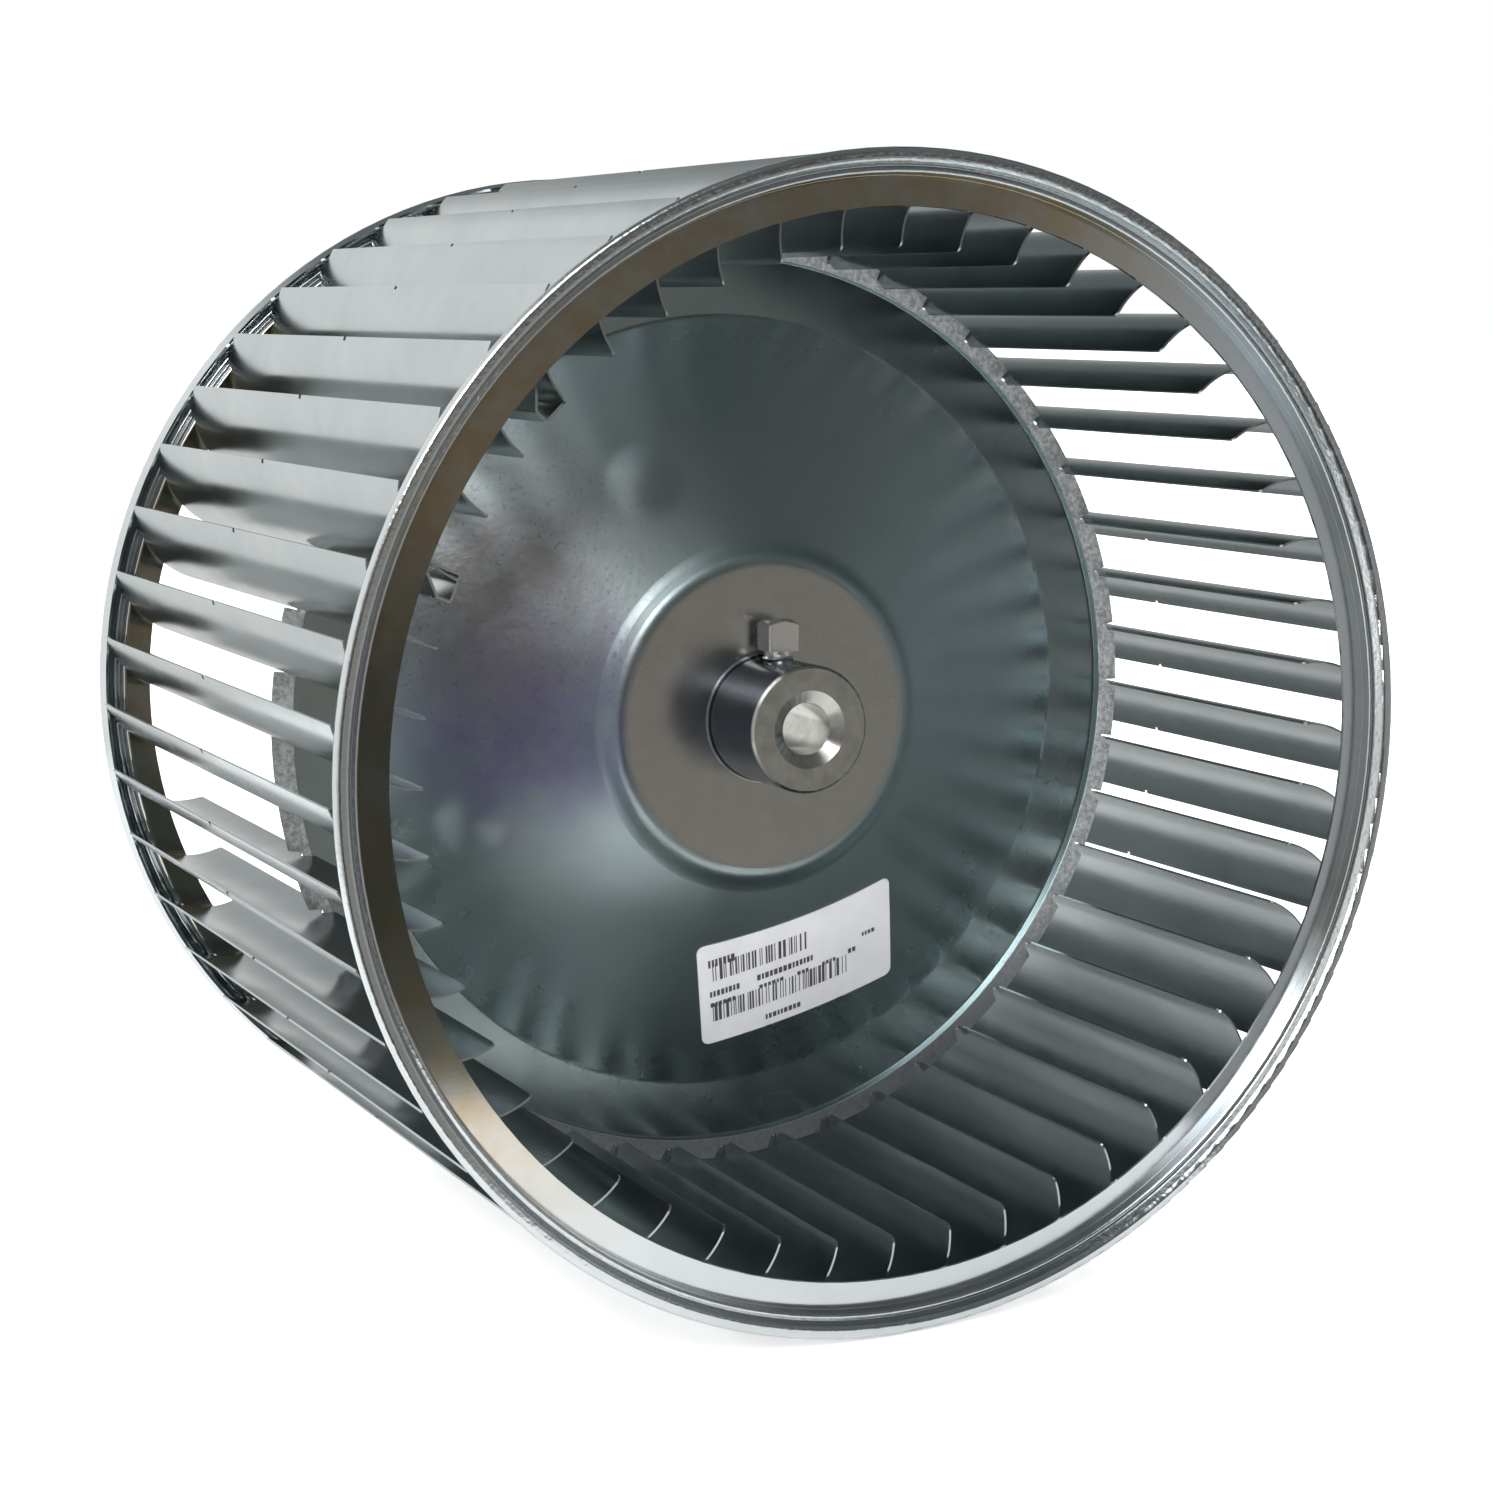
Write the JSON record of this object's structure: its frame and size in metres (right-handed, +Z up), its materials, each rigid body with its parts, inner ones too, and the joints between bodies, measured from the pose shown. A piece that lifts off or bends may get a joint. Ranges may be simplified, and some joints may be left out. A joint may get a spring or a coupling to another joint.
{
  "type": "blower motor wheel",
  "caption": "Double-inlet forward-curved blower wheel: galvanised blades between rolled end rings, dished centre disc and a bored hub with a square-head set screw.",
  "frame": {"origin": "centre of the wheel, on its axis and half way along its width", "axes": "+Y along the wheel's axis, from the hub's open end towards the rear inlet; +Z up along the set screw; +X to the right seen from the hub's open end"},
  "size_m": [0.2698, 0.1966, 0.2698],
  "materials": {
    "galvanised_ring": "bright galvanised sheet steel, rolled",
    "galvanised_disc": "galvanised sheet steel, smooth with a faint spangle",
    "galvanised_blade": "thin galvanised sheet steel, satin",
    "plated_hub": "turned and zinc-plated steel",
    "screw_steel": "dark plated steel screw",
    "spring_steel": "thin spring steel",
    "label_paper": "matte white paper label with plain grey bars"
  },
  "bodies": {
    "wheel": {"front_ring": "galvanised_ring", "rear_ring": "galvanised_ring", "centre_disc": "galvanised_disc", "hub": "plated_hub", "label": "label_paper", "balance_clip_1": "spring_steel", "balance_clip_2": "spring_steel", "blade_01": "galvanised_blade", "blade_02": "galvanised_blade", "blade_03": "galvanised_blade", "blade_04": "galvanised_blade", "blade_05": "galvanised_blade", "blade_06": "galvanised_blade", "blade_07": "galvanised_blade", "blade_08": "galvanised_blade", "blade_09": "galvanised_blade", "blade_10": "galvanised_blade", "blade_11": "galvanised_blade", "blade_12": "galvanised_blade", "blade_13": "galvanised_blade", "blade_14": "galvanised_blade", "blade_15": "galvanised_blade", "blade_16": "galvanised_blade", "blade_17": "galvanised_blade", "blade_18": "galvanised_blade", "blade_19": "galvanised_blade", "blade_20": "galvanised_blade", "blade_21": "galvanised_blade", "blade_22": "galvanised_blade", "blade_23": "galvanised_blade", "blade_24": "galvanised_blade", "blade_25": "galvanised_blade", "blade_26": "galvanised_blade", "blade_27": "galvanised_blade", "blade_28": "galvanised_blade", "blade_29": "galvanised_blade", "blade_30": "galvanised_blade", "blade_31": "galvanised_blade", "blade_32": "galvanised_blade", "blade_33": "galvanised_blade", "blade_34": "galvanised_blade", "blade_35": "galvanised_blade", "blade_36": "galvanised_blade", "blade_37": "galvanised_blade", "blade_38": "galvanised_blade", "blade_39": "galvanised_blade", "blade_40": "galvanised_blade", "blade_41": "galvanised_blade", "blade_42": "galvanised_blade", "blade_43": "galvanised_blade", "blade_44": "galvanised_blade", "blade_45": "galvanised_blade", "blade_46": "galvanised_blade", "blade_47": "galvanised_blade", "blade_48": "galvanised_blade"},
    "screw": {"set_screw": "screw_steel"}
  },
  "joints": [
    {"name": "set_screw_travel", "type": "slide", "parent": "wheel", "child": "screw", "axis": [0, 0, 1], "range_m": [-0.0008, 0.0085]}
  ]
}
